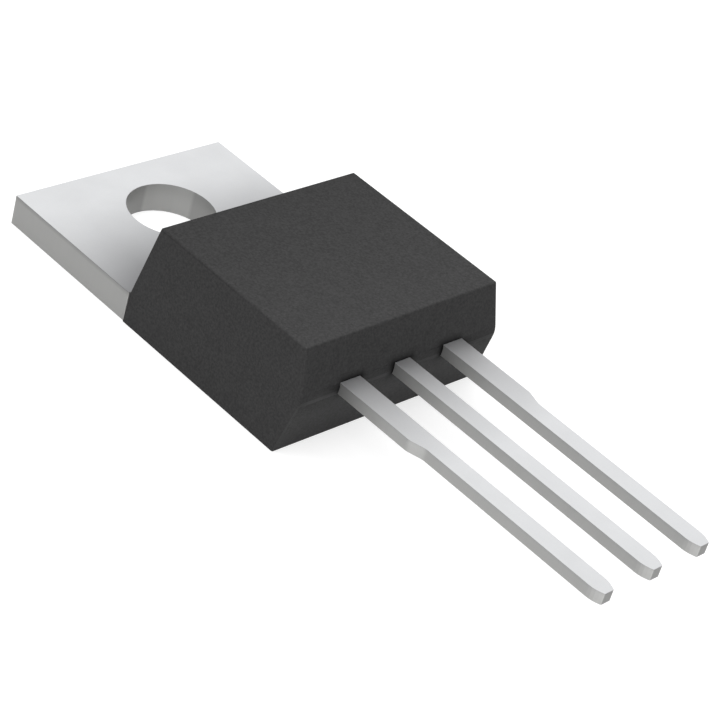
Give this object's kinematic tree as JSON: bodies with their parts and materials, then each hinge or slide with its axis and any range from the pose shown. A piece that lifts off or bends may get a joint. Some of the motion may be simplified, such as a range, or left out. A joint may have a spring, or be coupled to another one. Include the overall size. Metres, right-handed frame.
{
  "type": "triac",
  "caption": "Moulded semiconductor switch for alternating current: an epoxy block with a drilled metal mounting tab at one end and flat straight leads at the other.",
  "frame": {"origin": "on the axis of the mounting hole, at the back face of the tab", "axes": "+Y from the leads towards the tab's free end, +Z out of the back towards the moulded top, +X across the package from the lead of the first main terminal towards the gate's"},
  "size_m": [0.0104, 0.0286, 0.0044],
  "materials": {
    "epoxy": "matt, fine grain",
    "plated_copper": "satin tin plating",
    "silicon": "polished",
    "solder": "satin",
    "bond_wire": "bright"
  },
  "bodies": {
    "root": {"epoxy_body": "epoxy", "tab_and_mt2_lead": "plated_copper", "mt1_lead": "plated_copper", "gate_lead": "plated_copper", "silicon_die": "silicon", "die_solder": "solder", "mt1_bond_wire_1": "bond_wire", "mt1_bond_wire_2": "bond_wire", "gate_bond_wire": "bond_wire"}
  },
  "joints": []
}
